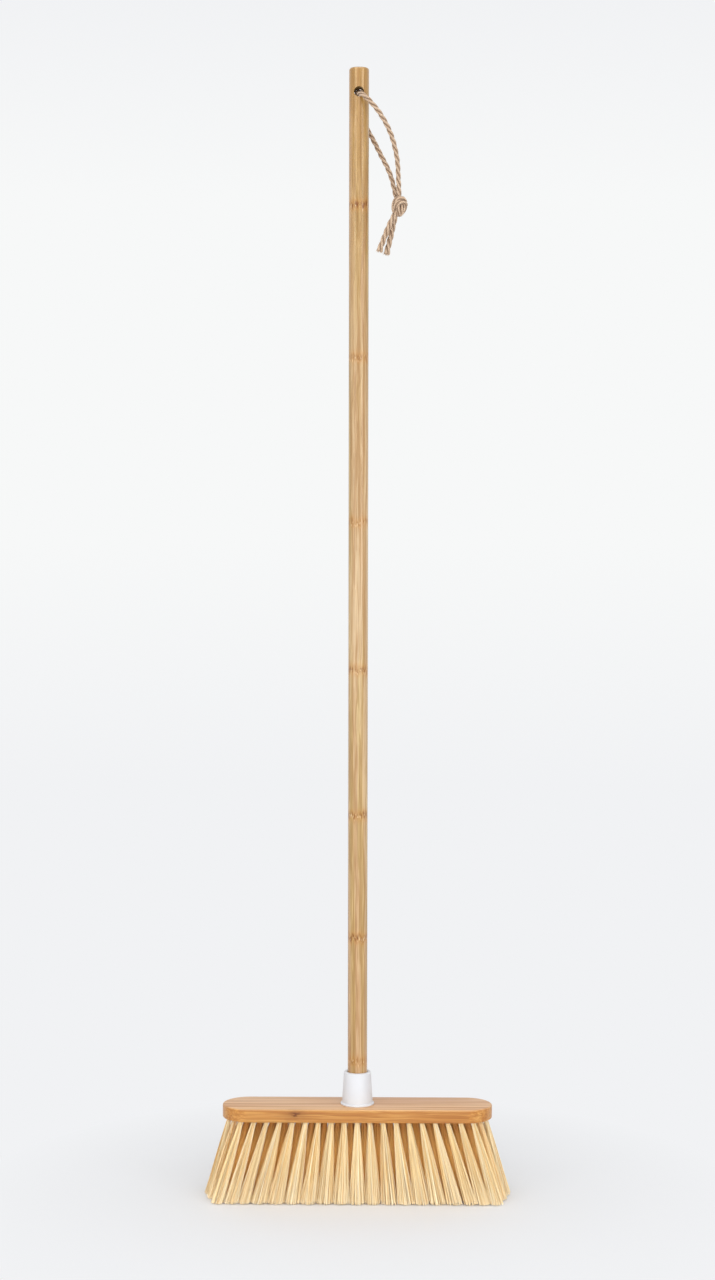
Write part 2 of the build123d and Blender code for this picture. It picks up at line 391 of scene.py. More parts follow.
def ramp(value, stops):
    """A colour ramp with the given positions and colours."""
    node = add_node(value.tree, "ShaderNodeValToRGB", {"Fac": value})
    elements = node.color_ramp.elements
    while len(elements) < len(stops):
        elements.new(1.0)
    for element, (position, colour) in zip(elements, stops):
        element.position = position
        element.color = colour
    return Wire(node.outputs["Color"])


def noise(vector, cycles, detail=2.0, roughness=0.5):
    """Noise with its own number of cycles per metre along each axis."""
    stretched = vector_calc("MULTIPLY", vector, cycles)
    inputs = {"Vector": stretched, "Scale": 1.0, "Detail": detail, "Roughness": roughness}
    return put(vector.tree, "ShaderNodeTexNoise", inputs)["Fac"]


def start_group(name, kind, inputs):
    """A new node group with inputs named and typed as some values are: its tree and what enters it."""
    sockets = {int: "Int", float: "Float", tuple: "Vector"}
    tree = bpy.data.node_groups.new(name, kind)
    for label, value in inputs.items():
        socket = sockets.get(type(value), "Material")
        tree.interface.new_socket(label, in_out="INPUT", socket_type="NodeSocket" + socket)
    return tree, put(tree, "NodeGroupInput")


def end_group(tree, socket="Float", **outputs):
    """Ends a node group with its named outputs, all of one kind."""
    for label in outputs:
        tree.interface.new_socket(label, in_out="OUTPUT", socket_type="NodeSocket" + socket)
    add_node(tree, "NodeGroupOutput", outputs)
    return tree


def new_finish(name, **constants):
    """A material with one Principled surface and its constant sockets set."""
    material = bpy.data.materials.new(name)
    material.use_nodes = True
    tree = material.node_tree
    tree.nodes.clear()
    surface = add_node(tree, "ShaderNodeBsdfPrincipled")
    for label, value in constants.items():
        surface.inputs[label.replace("_", " ")].default_value = value
    add_node(tree, "ShaderNodeOutputMaterial", {"Surface": Wire(surface.outputs["BSDF"])})
    return material, tree, surface


def dress(surface, colour, rough=None, height=None, relief=0.0):
    """Feeds a surface its colour, its roughness and a relief of a given depth."""
    link(colour, surface.inputs["Base Color"])
    if rough:
        link(rough, surface.inputs["Roughness"])
    if height:
        inputs = {"Height": height, "Distance": relief, "Strength": 1.0}
        link(put(height.tree, "ShaderNodeBump", inputs), surface.inputs["Normal"])


def tone(red, green, blue):
    """Linear colour of a display reading from 0 to 255."""
    channels = []
    for level in (red, green, blue):
        share = level / 255
        channels.append(share / 12.92 if share <= 0.04045 else ((share + 0.055) / 1.055) ** 2.4)
    return (*channels, 1.0)


room_dim = tone(241, 242, 244)
room_bright = tone(247, 248, 248)


# Shared effects


def make_bamboo_grain():
    """Broad strips, their hue, fine fibres and dark flecks that run along Z."""
    tree, enter = start_group("bamboo grain", "ShaderNodeTree", {"Vector": (0.0, 0.0, 0.0)})
    sway = remap(noise(enter["Vector"], (70.0, 70.0, 12.0), 1.0), 0.3, 0.7, -grain_sway, grain_sway)
    place = vector_calc("ADD", enter["Vector"], join_axes(sway, sway))
    streak = noise(place, (760.0, 760.0, 22.0), 1.0)
    strip = noise(place, (340.0, 340.0, 5.0), 2.0, 0.55) + (streak - 0.5) * 0.6
    hue = noise(vector_calc("ADD", place, (3.0, 5.0, 7.0)), (190.0, 190.0, 2.0), 1.0)
    fibre = noise(place, (1050.0, 1050.0, 14.0), 3.0, 0.6)
    fleck = noise(place, (1500.0, 1500.0, 40.0), 1.0)
    return end_group(
        tree,
        Strip=remap(strip, 0.37, 0.63),
        Hue=remap(hue, 0.42, 0.58),
        Fibre=remap(fibre, 0.34, 0.66),
        Fleck=remap(fleck, 0.64, 0.74),
    )


def make_bamboo_node():
    """Marks of one node of the cane: a brown band, dark where it breaks into dashes, with pale spots."""
    inputs = dict.fromkeys(("Along", "Centre", "Strength", "Dash", "Spot"), 0.0)
    tree, enter = start_group("bamboo node", "ShaderNodeTree", inputs)
    gap = enter["Along"] - enter["Centre"]
    band = bell(gap, node_band_width) * 0.5
    dash = bell(gap, node_dash_width) * enter["Dash"]
    dark = calc("MAXIMUM", band, dash) * enter["Strength"]
    pale = bell(gap + node_spot_drop, node_spot_width) * enter["Spot"]
    return end_group(tree, Dark=dark, Pale=pale)


def make_moulded_skin():
    """Faint flow marks and fine pitting of moulded plastic."""
    tree, enter = start_group("moulded skin", "ShaderNodeTree", {"Vector": (0.0, 0.0, 0.0)})
    flow = noise(enter["Vector"], (70.0,) * 3, 3.0)
    return end_group(tree, Flow=flow, Pitting=noise(enter["Vector"], (2600.0,) * 3, 2.0))


bamboo_grain = make_bamboo_grain()
bamboo_node = make_bamboo_node()
moulded_skin = make_moulded_skin()


# Finishes


def object_place(tree):
    return put(tree, "ShaderNodeTexCoord")["Object"]


def attribute(tree, name):
    return put(tree, "ShaderNodeAttribute", attribute_name=name)["Fac"]


def effect(group, **inputs):
    """The outputs of a shared effect, placed in the tree of the wires that feed it."""
    return put(tree_of(inputs.values()), "ShaderNodeGroup", inputs, node_tree=group)


def bamboo_colour(grain, strips, other_strips, shadow):
    """Strips in two hues, darkened along the fibres and at the flecks."""
    colour = blend(grain["Hue"], ramp(grain["Strip"], strips), ramp(grain["Strip"], other_strips))
    colour = blend(remap(grain["Fibre"], 0.0, 1.0, 0.42, 0.0), colour, shadow)
    return blend(grain["Fleck"] * 0.4, colour, shadow)


def mark_nodes(colour, dark, pale):
    """Dark and pale marks of the cane's nodes over its colour."""
    stain = ramp(dark, [(0.25, tone(188, 126, 40)), (0.9, tone(124, 70, 4))])
    colour = blend(dark, colour, stain)
    return blend(pale * 0.7, colour, tone(240, 210, 160))


def make_bamboo_pole():
    """Smooth lacquered cane in golden and pinkish strips with its nodes, painted darker and browner towards
    both ends as shade where less light reaches.
    """
    constants = {"Coat_Weight": 1.0, "Coat_Roughness": 0.22, "Specular_IOR_Level": 0.15}
    material, tree, surface = new_finish("bamboo_pole", **constants)
    place = object_place(tree)
    along = axes_of(place)["Z"]
    grain = effect(bamboo_grain, Vector=place)
    golden = [(0.0, tone(174, 142, 84)), (0.5, tone(191, 161, 103)), (1.0, tone(211, 183, 131))]
    pinkish = [(0.0, tone(180, 143, 95)), (0.5, tone(197, 161, 115)), (1.0, tone(212, 183, 141))]
    colour = bamboo_colour(grain, golden, pinkish, tone(145, 104, 58))
    # Painted shade: the colour is darkened and browned towards both ends of the pole
    colour = blend(1.0, colour, ramp(along / pole_top_z, pole_end_shade), "MULTIPLY")

    jag = remap(noise(place, (420.0, 420.0, 40.0), 2.0), 0.3, 0.7, -node_dash_stray, node_dash_stray)
    dash = remap(noise(place, (760.0, 760.0, 115.0), 2.0), 0.38, 0.54)
    other_place = vector_calc("ADD", place, (2.0, 4.0, 6.0))
    spot = remap(noise(other_place, (800.0, 800.0, 200.0), 1.0), 0.58, 0.68)
    jagged = along + jag
    dark, pale = 0.0, 0.0
    for height, strength in pole_nodes.items():
        mark = effect(bamboo_node, Along=jagged, Centre=height, Strength=strength, Dash=dash, Spot=spot)
        dark = calc("MAXIMUM", dark, mark["Dark"])
        pale = calc("MAXIMUM", pale, mark["Pale"])
    rough = remap(grain["Fibre"], 0.0, 1.0, 0.52, 0.40)
    dress(surface, mark_nodes(colour, dark, pale), rough, grain["Fibre"], pole_relief)
    return material


def make_bamboo_end():
    """Sawn end of the cane: small dark bundles in pale wood."""
    material, tree, surface = new_finish("bamboo_end", Roughness=0.8, Specular_IOR_Level=0.05)
    place = object_place(tree)
    inputs = {"Vector": place, "Scale": 900.0, "Randomness": 0.9}
    bundle = remap(put(tree, "ShaderNodeTexVoronoi", inputs)["Distance"], 0.18, 0.34, 1.0, 0.0)
    patch = noise(place, (140.0,) * 3, 2.0)
    colour = ramp(patch, [(0.3, tone(144, 118, 76)), (0.7, tone(174, 144, 98))])
    dress(surface, blend(bundle * 0.6, colour, tone(108, 80, 48)), None, bundle, end_relief)
    return material


def eye_of_node(turned, axes):
    """Dark eye with a soft surround, where a node of the cane shows in the front of the block."""
    stray = remap(noise(turned, (500.0, 500.0, 120.0), 2.0), 0.3, 0.7, -0.8, 0.8)
    width, height = block_eye_size
    gap = (axes["X"] - block_eye.x) / width
    rise = (axes["Z"] - (under_z + block_eye.y)) / height + stray
    reach = gap * gap + rise * rise
    core = bell(rise - abs(gap), 1 / 1.5) * fall(reach * 0.6)
    mark = calc("MAXIMUM", core, fall(reach * 0.22) * 0.36)
    return mark * (axes["Y"] < lamination - block_high.y)


def make_bamboo_block():
    """Oiled block glued up from upright strips, with grain along X and a painted sheen that lightens its top
    face.
    """
    constants = {"Coat_Weight": 0.35, "Coat_Roughness": 0.3, "Specular_IOR_Level": 0.3}
    material, tree, surface = new_finish("bamboo_block", **constants)
    axes = axes_of(object_place(tree))
    strip_place = (axes["Y"] + block_high.y) / lamination
    inputs = {"W": calc("FLOOR", strip_place)}
    chance = put(tree, "ShaderNodeTexWhiteNoise", inputs, noise_dimensions="1D")["Value"]
    turned = join_axes(axes["Y"], axes["Z"], axes["X"] + chance)
    grain = effect(bamboo_grain, Vector=turned)
    golden = [(0.0, tone(176, 110, 42)), (0.5, tone(197, 132, 55)), (1.0, tone(210, 152, 74))]
    pinkish = [(0.0, tone(180, 115, 48)), (0.5, tone(199, 136, 62)), (1.0, tone(214, 160, 86))]
    colour = bamboo_colour(grain, golden, pinkish, tone(152, 86, 28))
    lift = remap(chance, 0.0, 1.0, 0.0, 0.1)
    colour = blend(lift, colour, tone(230, 184, 120))
    glue = remap(calc("PINGPONG", strip_place, 0.5), 0.0, 0.03, 0.12, 0.0)
    colour = blend(glue, colour, tone(146, 92, 46))

    # Painted sheen: the top face and its rounded edge are lightened, standing in for the white room mirrored
    # at a grazing angle; the darker streaks laid over it are grain
    upper = remap(axes["Z"], block_top_z - block_edge_radius, block_top_z)
    colour = blend(upper * 0.5, colour, tone(246, 208, 160))
    streak = remap(noise(turned, (150.0, 150.0, 4.0), 2.0), 0.4, 0.62)
    colour = blend(upper * streak, colour, tone(186, 126, 66))
    colour = blend(eye_of_node(turned, axes), colour, tone(108, 56, 20))
    rough = remap(grain["Fibre"], 0.0, 1.0, 0.46, 0.34)
    dress(surface, colour, rough, grain["Fibre"], block_relief)
    return material


def make_plastic(name, colour, shadow, rough_low, rough_high):
    """Satin moulded plastic with faint flow marks."""
    material, tree, surface = new_finish(name, IOR=1.49)
    marks = effect(moulded_skin, Vector=object_place(tree))
    flow = remap(marks["Flow"], 0.3, 0.7)
    rough = remap(marks["Flow"], 0.3, 0.7, rough_low, rough_high)
    dress(surface, blend(flow, shadow, colour), rough, marks["Pitting"], plastic_relief)
    return material


def make_zinc():
    """Zinc plated steel with a fine cloudy spangle."""
    material, tree, surface = new_finish("zinc_steel", Metallic=1.0)
    cloud = noise(object_place(tree), (900.0,) * 3, 3.0)
    colour = ramp(cloud, [(0.3, tone(178, 178, 172)), (0.7, tone(214, 214, 210))])
    dress(surface, colour, remap(cloud, 0.3, 0.7, 0.28, 0.44), cloud, zinc_relief)
    return material


def make_filament():
    """Cream filament, palest at its tip, painted amber and darker towards the root deep inside the brush as
    shade, with a faint painted amber glow there that stands in for light passing through the filaments.
    """
    constants = {"Roughness": 0.5, "IOR": 1.45, "Specular_IOR_Level": 0.1, "Emission_Strength": 0.06}
    material, tree, surface = new_finish("bristle", **constants)
    along = attribute(tree, "along")
    stops = [
        (0.1, tone(226, 180, 112)),
        (0.3, tone(246, 216, 158)),
        (0.6, tone(249, 229, 184)),
        (0.9, tone(252, 240, 211)),
    ]
    colour = ramp(attribute(tree, "tint"), stops)
    colour = blend(remap(along, 0.65, 1.0, 0.0, 0.4), colour, tone(255, 240, 208))
    shade = ramp(along, [(0.1, tone(214, 144, 66)), (0.4, tone(255, 204, 116))])
    # Painted shade: filaments deep in the brush turn amber and darker towards the root, as the light inside
    # the brush would
    amber = remap(attribute(tree, "depth"), 0.04, 0.4) * remap(along, 0.3, 1.0, 0.9, 0.5)
    dress(surface, blend(amber, colour, shade))
    # Painted glow: a faint amber emission deep inside, standing in for light that passes through the
    # filaments
    painted_glow = amber * remap(along, 0.2, 0.5)
    link(blend(painted_glow, tone(0, 0, 0), tone(210, 144, 50)), surface.inputs["Emission Color"])
    return material


def make_jute():
    """Natural jute: fibres that lie along each strand, pale on its crown, with painted shade that darkens it
    low in the lay.
    """
    material, tree, surface = new_finish("jute", Roughness=0.9, Sheen_Weight=0.2, Sheen_Roughness=0.6)
    lie = put(tree, "ShaderNodeUVMap", uv_map="lie")
    fibre = noise(lie, (260.0, 22.0, 1.0), 3.0, 0.65)
    stops = [(0.0, tone(156, 127, 102)), (0.5, tone(196, 168, 140)), (1.0, tone(222, 200, 174))]
    colour = ramp(remap(fibre, 0.3, 0.7), stops)
    worn = remap(noise(lie, (55.0, 2.0, 1.0), 2.0), 0.4, 0.7, 0.0, 0.3)
    colour = blend(worn, colour, tone(172, 138, 110))
    # Painted shade: the jute darkens low in the lay between strands and on the rope's core, where shade
    # falls
    groove = remap(attribute(tree, "crown"), 0.64, 0.92, 0.9, 0.0)
    dress(surface, blend(groove, colour, tone(104, 74, 50)), None, fibre, jute_relief)
    return material


finishes = {
    "bamboo_pole": make_bamboo_pole(),
    "bamboo_end": make_bamboo_end(),
    "bamboo_block": make_bamboo_block(),
    "socket_plastic": make_plastic("socket_plastic", tone(217, 218, 221), tone(212, 213, 217), 0.34, 0.42),
    "tip_plastic": make_plastic("tip_plastic", tone(232, 232, 233), tone(222, 222, 224), 0.45, 0.55),
    "steel": make_zinc(),
    "bristle": make_filament(),
    "jute": make_jute(),
}


# Mesh helpers


def add_object(name, data):
    piece = bpy.data.objects.new(name, data)
    bpy.context.scene.collection.objects.link(piece)
    return piece


def paint(mesh, *materials):
    """Gives a mesh these materials alone."""
    mesh.materials.clear()
    for material in materials:
        mesh.materials.append(material)


def mesh_of(name, points, faces):
    """A mesh with its faces turned outwards."""
    mesh = bpy.data.meshes.new(name)
    mesh.from_pydata(points, [], faces)
    edit = bmesh.new()
    edit.from_mesh(mesh)
    bmesh.ops.recalc_face_normals(edit, faces=edit.faces)
    edit.to_mesh(mesh)
    edit.free()
    return mesh


def smooth(mesh, degrees=35.0):
    """Smooth shading, with sharp edges kept where faces meet at a larger angle."""
    mesh.shade_smooth()
    mesh.set_sharp_from_angle(angle=math.radians(degrees))


def settle(piece):
    """Makes a piece's modifiers part of its mesh."""
    state = piece.evaluated_get(bpy.context.evaluated_depsgraph_get())
    mesh = bpy.data.meshes.new_from_object(state)
    piece.modifiers.clear()
    piece.data = mesh
    mesh.name = piece.name


def circle(radius, sides, height, x=0.0, y=0.0):
    """Points of a level circle."""
    turns = [2 * math.pi * side / sides for side in range(sides)]
    return [(x + radius * math.cos(turn), y + radius * math.sin(turn), height) for turn in turns]


def skin(base, rings, around):
    """Faces between stacked rings of points, the first of which has the number of the base."""
    faces = []
    for ring in range(rings - 1):
        low = base + ring * around
        for spot in range(around):
            following = (spot + 1) % around
            faces.append((low + spot, low + following, low + around + following, low + around + spot))
    return faces


def arc(x, y, radius, start, end, steps=edge_steps):
    """Points of an arc round a point in a plane, with its angles in degrees."""
    points = []
    for step in range(steps + 1):
        angle = math.radians(start + (end - start) * step / steps)
        points.append((x + radius * math.cos(angle), y + radius * math.sin(angle)))
    return points


def lathe(name, profile):
    """A closed turned shape from radius and height pairs that start and end on the axis."""
    points = [(0, 0, profile[0][1])]
    for radius, height in profile[1:-1]:
        points += circle(radius, turned_sides, height)
    points.append((0, 0, profile[-1][1]))
    last = len(points) - 1
    top = last - turned_sides
    faces = skin(1, len(profile) - 2, turned_sides)
    for side in range(turned_sides):
        following = (side + 1) % turned_sides
        faces.append((0, 1 + following, 1 + side))
        faces.append((last, top + side, top + following))
    return mesh_of(name, points, faces)


def rods(name, places, radius, low, high, sides):
    """Upright rods as one mesh, to drill with."""
    points = []
    faces = []
    for x, y in places:
        base = len(points)
        points += circle(radius, sides, low, x, y) + circle(radius, sides, high, x, y)
        faces += [list(range(base, base + sides)), list(range(base + sides, base + 2 * sides))]
        faces += skin(base, 2, sides)
    return mesh_of(name, points, faces)


def cut(piece, cutter_mesh):
    """Takes a closed mesh out of a piece."""
    cutter = add_object("cutter", cutter_mesh)
    drill = piece.modifiers.new("drill", "BOOLEAN")
    drill.operation = "DIFFERENCE"
    drill.solver = "EXACT"
    drill.object = cutter
    settle(piece)
    bpy.data.objects.remove(cutter)


def grow(name, tree, sizes):
    """A piece grown by a Geometry Nodes tree with these named sizes, left as a plain mesh."""
    piece = add_object(name, bpy.data.meshes.new(name))
    growth = piece.modifiers.new("growth", "NODES")
    growth.node_group = tree
    for item in tree.interface.items_tree:
        if item.in_out == "INPUT":
            growth[item.identifier] = sizes[item.name]
    settle(piece)
    return piece


def finish_piece(piece, body, slot, *nodes):
    """Rides a piece on its body and hides the nodes that it stands for. Its slot is not used."""
    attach(piece, body)
    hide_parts(*nodes)


# Brush block


def stadium(inset):
    """Outline of the block, drawn in by an inset."""
    radius = block_high.y - inset
    right_end = arc(block_straight_half, 0, radius, -90, 90, end_steps)
    return right_end + arc(-block_straight_half, 0, radius, 90, 270, end_steps)


def row_places(tufts, row):
    """Roots of one row of tufts."""
    first = -tuft_pitch * (tufts - 1) / 2
    return [(first + tuft_pitch * tuft, row * row_spacing) for tuft in range(tufts)]


def make_block():
    """The block, drilled for its tufts and recessed for the socket's spigot and screws."""
    edge = block_edge_radius
    rings = arc(edge, under_z + edge, edge, 270, 180) + arc(edge, block_top_z - edge, edge, 180, 90)
    points = []
    for inset, height in rings:
        points += [(x, y, height) for x, y in stadium(inset)]
    around = len(points) // len(rings)
    faces = [list(range(around)), list(range(len(points) - around, len(points)))]
    faces += skin(0, len(rings), around)
    block = add_object("brush_block_oiled", mesh_of("brush_block_oiled", points, faces))
    places = []
    for number, tufts in enumerate(tufts_in_row.values()):
        places += row_places(tufts, number - len(tufts_in_row) // 2)
    hole_low = under_z - drill_overlap
    hole_top = under_z + tuft_hole_depth
    cut(block, rods("tuft_holes", places, tuft_hole_radius, hole_low, hole_top, small_hole_sides))
    recess_top = block_top_z + drill_overlap
    cut(block, rods("recess", [(0, 0)], spigot_radius, collar_low.z, recess_top, recess_sides))
    screw_places = [(0, row_spacing / 2), (0, -row_spacing / 2)]
    pilot_top = collar_low.z + drill_overlap / 2
    cut(block, rods("pilots", screw_places, screw_hole_radius, screw_point_z, pilot_top, small_hole_sides))
    paint(block.data, finishes["bamboo_block"])
    smooth(block.data, 30.0)
    finish_piece(block, "head", "bamboo_block", "brush_block")


# Bristles


def draw(enter, low, high, number):
    """A random value for each filament, by the seed of its row and the number of the draw."""
    seed = enter["Seed"] * draws_in_row + float(number)
    return put(enter.tree, "FunctionNodeRandomValue", {2: low, 3: high, 8: seed})[1]


def draw_either_way(enter, reach, number):
    return draw(enter, reach * -1.0, reach, number)


def stored(geometry, name, value, kind="FLOAT_VECTOR", domain="POINT"):
    """A geometry that keeps a value under a name."""
    inputs = {"Geometry": geometry, "Name": name, "Value": value}
    return put(geometry.tree, "GeometryNodeStoreNamedAttribute", inputs, data_type=kind, domain=domain)


def named(tree, name, kind="FLOAT_VECTOR"):
    return put(tree, "GeometryNodeInputNamedAttribute", {"Name": name}, data_type=kind)["Attribute"]


def tuft_roots(enter, x):
    """Roots along a row. A tuft leans outwards up to a limit, and its tip spreads to meet its neighbours."""
    tree = enter.tree
    first_x = (enter["Tufts"] - 1.0) * enter["Pitch"] * -0.5
    start = join_axes(first_x, enter["Row Y"], enter["Root Z"])
    inputs = {"Count": enter["Tufts"], "Start Location": start, "Offset": join_axes(enter["Pitch"])}
    roots = put(tree, "GeometryNodeMeshLine", inputs, mode="OFFSET", count_mode="TOTAL")
    lean = x * enter["Fan Slope"]
    limit = enter["Fan Limit"]
    held = put(tree, "ShaderNodeClamp", {"Value": lean, "Min": limit * -1.0, "Max": limit})
    widening = (abs(lean) < limit) * enter["Fan Slope"] + 1.0
    half_width = enter["Pitch"] * 0.5 * enter["Tip Fill"] * widening
    roots = stored(roots, "tip", join_axes(x + held, enter["Tip Y"]))
    return stored(roots, "spread", join_axes(half_width, enter["Tip Depth"] * 0.5))


def filament_starts(enter, roots, x):
    """Filaments over a disc at each root, in clumps that share a tint and draw together towards the tip."""
    tree = enter.tree
    inputs = {"Geometry": roots, "Amount": enter["Filaments"]}
    points = put(tree, "GeometryNodeDuplicateElements", inputs, domain="POINT")
    turn = draw(enter, 0.0, 2 * math.pi, 1)
    reach = calc("SQRT", draw(enter, 0.0, 1.0, 2))
    points = stored(points, "disc", join_axes(reach * calc("COSINE", turn), reach * calc("SINE", turn)))
    disc = named(tree, "disc")
    tuft_place = join_axes(x * clump_shift, enter["Seed"])
    inputs = {"Vector": vector_calc("ADD", disc, tuft_place), "Scale": enter["Clumps"]}
    clump = put(tree, "ShaderNodeTexVoronoi", inputs, voronoi_dimensions="2D")
    clump_tint = put(tree, "FunctionNodeSeparateColor", {0: clump["Color"]})
    points = stored(points, "clump_tint", clump_tint, "FLOAT")
    clump_middle = vector_calc("SUBTRACT", clump["Position"], tuft_place)
    pull = scaled(vector_calc("SUBTRACT", clump_middle, disc), enter["Clump Pull"])
    points = stored(points, "pull", pull)
    inputs = {"Geometry": points, "Offset": scaled(disc, enter["Root Radius"])}
    return put(tree, "GeometryNodeSetPosition", inputs)


def filament_run(enter, position):
    """The way from each filament's root to its own place at the tip."""
    tree = enter.tree
    disc = named(tree, "disc")
    round_off = calc("POWER", length_of(disc), 2.0) * enter["Lift"]
    ragged = calc("POWER", draw(enter, 0.0, 1.0, 5), 3.0) * enter["Raggedness"]
    stray_x = draw_either_way(enter, enter["Jitter"], 3)
    stray_y = draw_either_way(enter, enter["Jitter"], 4)
    stray = join_axes(stray_x, stray_y, round_off + ragged)
    wide = vector_calc("MULTIPLY", vector_calc("ADD", disc, named(tree, "pull")), named(tree, "spread"))
    goal = vector_calc("ADD", vector_calc("ADD", named(tree, "tip"), wide), stray)
    return vector_calc("SUBTRACT", goal, position)


def filament_rods(enter, points, position):
    """Thin rods that know how far along they are, one unit long before they are stretched to their run."""
    tree = enter.tree
    run = filament_run(enter, position)
    rotation = put(tree, "FunctionNodeAlignRotationToVector", {"Vector": run}, axis="Z")
    spin = join_axes(z=draw(enter, 0.0, 2 * math.pi, 10))
    inputs = {"Rotation": rotation, "Rotate By": put(tree, "FunctionNodeEulerToRotation", {0: spin})}
    rotation = put(tree, "FunctionNodeRotateRotation", inputs, rotation_space="LOCAL")
    inputs = {"Vertices": filament_sides, "Side Segments": filament_steps, "Radius": 1.0, "Depth": 1.0}
    rod = put(tree, "GeometryNodeMeshCylinder", inputs, fill_type="NGON")
    rod = put(tree, "GeometryNodeTransform", {"Geometry": rod, "Translation": (0.0, 0.0, 0.5)})
    rod = stored(rod, "along", axes_of(position)["Z"], "FLOAT")
    thick = enter["Filament Radius"] * draw(enter, *filament_variation, 6)
    inputs = {"Points": points, "Instance": rod, "Rotation": rotation}
    inputs["Scale"] = join_axes(thick, thick, length_of(run))
    return put(tree, "GeometryNodeInstanceOnPoints", inputs)


def marked_filaments(enter, filaments, position):
    """Filaments with a tint, a bend and a depth, from 0 outside the brush to 1 on its middle line, which
    sets their painted amber shade and painted glow.
    """
    own_tint = draw(enter, 0.0, 1.0 - clump_share, 7)
    tint = named(enter.tree, "clump_tint", "FLOAT") * clump_share + own_tint
    filaments = stored(filaments, "tint", tint, "FLOAT", "INSTANCE")
    bend = join_axes(draw_either_way(enter, enter["Bow"], 8), draw_either_way(enter, enter["Bow"], 9))
    filaments = stored(filaments, "bend", bend, domain="INSTANCE")
    root = axes_of(position)
    past_end = calc("MAXIMUM", abs(root["X"]) - enter["Straight Half"], 0.0)
    from_line = length_of(join_axes(past_end, root["Y"]))
    return stored(filaments, "depth", 1.0 - from_line / enter["Brush Radius"], "FLOAT", "INSTANCE")


def make_tuft_row_tree(sizes):
    """A row of flared tufts: slightly bowed filaments from a round root to a wide cut tip."""
    tree, enter = start_group("tuft row", "GeometryNodeTree", sizes)
    position = put(tree, "GeometryNodeInputPosition")
    x = axes_of(position)["X"]
    points = filament_starts(enter, tuft_roots(enter, x), x)
    filaments = marked_filaments(enter, filament_rods(enter, points, position), position)
    mesh = put(tree, "GeometryNodeRealizeInstances", {"Geometry": filaments})
    along = named(tree, "along", "FLOAT")
    hump = along * (1.0 - along) * 4.0
    inputs = {"Geometry": mesh, "Offset": scaled(named(tree, "bend"), hump)}
    mesh = put(tree, "GeometryNodeSetPosition", inputs)
    mesh = put(tree, "GeometryNodeSetShadeSmooth", {"Geometry": mesh, "Shade Smooth": False})
    mesh = put(tree, "GeometryNodeSetMaterial", {"Geometry": mesh, "Material": enter["Material"]})
    return end_group(tree, "Geometry", Geometry=mesh)


def row_sizes(number, tufts):
    """Sizes of one row of tufts, counted from the front."""
    outer_row = len(tufts_in_row) // 2
    row = number - outer_row
    return {
        "Tufts": tufts,
        "Pitch": tuft_pitch,
        "Row Y": row * row_spacing,
        "Tip Y": row * row_spacing * (1 + row_fan),
        "Root Z": under_z + tuft_root_sink,
        "Root Radius": tuft_root_radius,
        "Straight Half": block_straight_half,
        "Brush Radius": outer_row * row_spacing + tuft_root_radius,
        "Fan Slope": fan_slope,
        "Fan Limit": fan_limit_middle + fan_limit_step * abs(row),
        "Tip Fill": tip_fill,
        "Tip Depth": tuft_tip_depth,
        "Filaments": filaments_in_tuft,
        "Filament Radius": filament_radius,
        "Bow": filament_bow,
        "Clumps": clumps_across,
        "Clump Pull": clump_pull,
        "Jitter": tip_jitter,
        "Lift": tip_lift,
        "Raggedness": tip_raggedness,
        "Seed": number + 1,
        "Material": finishes["bristle"],
    }


def make_bristles():
    """One piece for each row of tufts."""
    rows = {node: row_sizes(number, tufts) for number, (node, tufts) in enumerate(tufts_in_row.items())}
    tree = make_tuft_row_tree(rows["tuft_row_front"])
    for node, sizes in rows.items():
        piece = grow(node + "_filaments", tree, sizes)
        finish_piece(piece, "head", "bristle", node)


# Screw socket


def make_thread_tree(sizes):
    """A trapezoid ridge wound on the inside of a bore."""
    tree, enter = start_group("thread ridge", "GeometryNodeTree", sizes)
    middle = enter["Radius"] - (enter["Depth"] - enter["Bite"]) * 0.5
    inputs = {
        "Resolution": thread_steps,
        "Rotations": enter["Turns"],
        "Start Radius": middle,
        "End Radius": middle,
        "Height": enter["Lead"] * enter["Turns"],
        "Reverse": True,
    }
    spiral = put(tree, "GeometryNodeCurveSpiral", inputs)
    spiral = put(tree, "GeometryNodeSetCurveNormal", {"Curve": spiral}, mode="Z_UP")
    inputs = {"Geometry": spiral, "Translation": join_axes(z=enter["First Z"])}
    spiral = put(tree, "GeometryNodeTransform", inputs)
    inputs = {
        "Bottom Width": enter["Base Width"],
        "Top Width": enter["Crest Width"],
        "Height": enter["Depth"] + enter["Bite"],
        "Offset": 0.0,
    }
    profile = put(tree, "GeometryNodeCurvePrimitiveQuadrilateral", inputs, mode="TRAPEZOID")
    inputs = {"Geometry": profile, "Rotation": (0.0, 0.0, math.pi / 2)}
    profile = put(tree, "GeometryNodeTransform", inputs)
    inputs = {"Curve": spiral, "Profile Curve": profile, "Fill Caps": True}
    ridge = put(tree, "GeometryNodeCurveToMesh", inputs)
    ridge = put(tree, "GeometryNodeSetMaterial", {"Geometry": ridge, "Material": enter["Material"]})
    return end_group(tree, "Geometry", Geometry=ridge)


def make_thread():
    """Ridge of the thread in the socket's bore."""
    sizes = {
        "Radius": thread_root_radius,
        "Lead": thread_lead,
        "Turns": thread_turns,
        "First Z": ledge_z - thread_first_drop,
        "Depth": thread_depth,
        "Base Width": thread_base_width,
        "Crest Width": thread_crest_width,
        "Bite": thread_bite,
        "Material": finishes["socket_plastic"],
    }
    ridge = grow("socket_thread_ridge", make_thread_tree(sizes), sizes)
    finish_piece(ridge, "head", "socket_plastic", "socket_collar")


